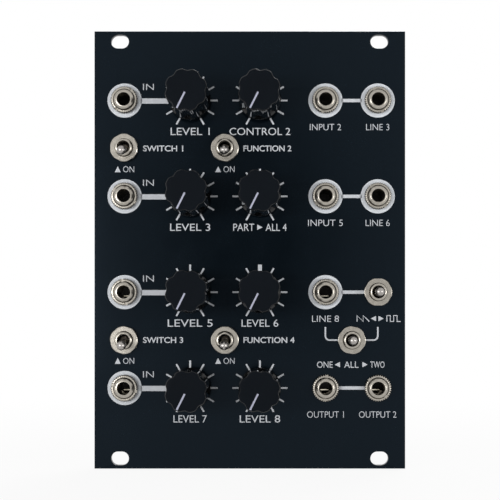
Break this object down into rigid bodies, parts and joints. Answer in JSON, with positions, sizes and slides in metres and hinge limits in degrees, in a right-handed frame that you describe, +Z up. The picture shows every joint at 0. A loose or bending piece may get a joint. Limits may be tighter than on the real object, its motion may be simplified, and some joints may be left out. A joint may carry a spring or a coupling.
{
  "type": "modular synthesizer voice module",
  "caption": "Black 3U rack synthesizer module: flat panel with fluted knobs, small toggle switches and patch sockets, circuit boards and a power header behind it.",
  "frame": {"origin": "middle of the lower rail seat, on the panel's rear face, level with the lower slots", "axes": "+Z up the panel, +X to the right seen from the front, -Y out of the panel's front, where the controls are"},
  "size_m": [0.0914, 0.0502, 0.1285],
  "materials": {
    "panel_black": "satin",
    "knob_black": "matt, fluted",
    "nickel": "nickel plate",
    "housing_black": "moulded",
    "switch_body": "moulded",
    "pot_body": "plain plate",
    "board_green": "solder mask"
  },
  "bodies": {
    "module": {"front_panel": "panel_black", "main_board": "board_green", "voice_board": "board_green", "power_header": "housing_black", "potentiometer_1": "pot_body", "potentiometer_2": "pot_body", "potentiometer_3": "pot_body", "potentiometer_4": "pot_body", "potentiometer_5": "pot_body", "potentiometer_6": "pot_body", "potentiometer_7": "pot_body", "potentiometer_8": "pot_body", "socket_1": "housing_black", "socket_nut_1": "nickel", "socket_2": "housing_black", "socket_nut_2": "nickel", "socket_3": "housing_black", "socket_nut_3": "nickel", "socket_4": "housing_black", "socket_nut_4": "nickel", "socket_5": "housing_black", "socket_nut_5": "nickel", "socket_6": "housing_black", "socket_nut_6": "nickel", "socket_7": "housing_black", "socket_nut_7": "nickel", "socket_8": "housing_black", "socket_nut_8": "nickel", "socket_9": "housing_black", "socket_nut_9": "nickel", "socket_10": "housing_black", "socket_nut_10": "nickel", "socket_11": "housing_black", "socket_nut_11": "nickel", "switch_1": "switch_body", "switch_nut_1": "nickel", "switch_2": "switch_body", "switch_nut_2": "nickel", "switch_3": "switch_body", "switch_nut_3": "nickel", "switch_4": "switch_body", "switch_nut_4": "nickel", "switch_5": "switch_body", "switch_nut_5": "nickel", "switch_6": "switch_body", "switch_nut_6": "nickel"},
    "knob_1": {"knob_1": "knob_black"},
    "knob_2": {"knob_2": "knob_black"},
    "knob_3": {"knob_3": "knob_black"},
    "knob_4": {"knob_4": "knob_black"},
    "knob_5": {"knob_5": "knob_black"},
    "knob_6": {"knob_6": "knob_black"},
    "knob_7": {"knob_7": "knob_black"},
    "knob_8": {"knob_8": "knob_black"},
    "lever_1": {"lever_1": "nickel"},
    "lever_2": {"lever_2": "nickel"},
    "lever_3": {"lever_3": "nickel"},
    "lever_4": {"lever_4": "nickel"},
    "lever_5": {"lever_5": "nickel"},
    "lever_6": {"lever_6": "nickel"}
  },
  "joints": [
    {"name": "knob_1_turn", "type": "hinge", "parent": "module", "child": "knob_1", "pos_m": [-0.01753, -0.002, 0.10516], "axis": [0, 1, 0], "range_deg": [0, 305]},
    {"name": "knob_2_turn", "type": "hinge", "parent": "module", "child": "knob_2", "pos_m": [0.00297, -0.002, 0.10516], "axis": [0, 1, 0], "range_deg": [0, 305]},
    {"name": "knob_3_turn", "type": "hinge", "parent": "module", "child": "knob_3", "pos_m": [-0.01753, -0.002, 0.07701], "axis": [0, 1, 0], "range_deg": [0, 305]},
    {"name": "knob_4_turn", "type": "hinge", "parent": "module", "child": "knob_4", "pos_m": [0.00297, -0.002, 0.07701], "axis": [0, 1, 0], "range_deg": [0, 305]},
    {"name": "knob_5_turn", "type": "hinge", "parent": "module", "child": "knob_5", "pos_m": [-0.01753, -0.002, 0.04886], "axis": [0, 1, 0], "range_deg": [0, 305]},
    {"name": "knob_6_turn", "type": "hinge", "parent": "module", "child": "knob_6", "pos_m": [0.00297, -0.002, 0.04886], "axis": [0, 1, 0], "range_deg": [0, 305]},
    {"name": "knob_7_turn", "type": "hinge", "parent": "module", "child": "knob_7", "pos_m": [-0.01753, -0.002, 0.02071], "axis": [0, 1, 0], "range_deg": [0, 305]},
    {"name": "knob_8_turn", "type": "hinge", "parent": "module", "child": "knob_8", "pos_m": [0.00297, -0.002, 0.02071], "axis": [0, 1, 0], "range_deg": [0, 305]},
    {"name": "lever_1_throw", "type": "hinge", "parent": "module", "child": "lever_1", "pos_m": [-0.03678, -0.0022, 0.09108], "axis": [-1, 0, 0], "range_deg": [0, 23]},
    {"name": "lever_2_throw", "type": "hinge", "parent": "module", "child": "lever_2", "pos_m": [-0.00728, -0.0022, 0.09108], "axis": [-1, 0, 0], "range_deg": [0, 23]},
    {"name": "lever_3_throw", "type": "hinge", "parent": "module", "child": "lever_3", "pos_m": [0.03757, -0.0022, 0.04886], "axis": [0, 0, 1], "range_deg": [-11.5, 11.5]},
    {"name": "lever_4_throw", "type": "hinge", "parent": "module", "child": "lever_4", "pos_m": [-0.03678, -0.0022, 0.03479], "axis": [-1, 0, 0], "range_deg": [0, 23]},
    {"name": "lever_5_throw", "type": "hinge", "parent": "module", "child": "lever_5", "pos_m": [-0.00728, -0.0022, 0.03479], "axis": [-1, 0, 0], "range_deg": [0, 23]},
    {"name": "lever_6_throw", "type": "hinge", "parent": "module", "child": "lever_6", "pos_m": [0.0299, -0.0022, 0.03479], "axis": [0, 0, 1], "range_deg": [-11.5, 11.5]}
  ]
}
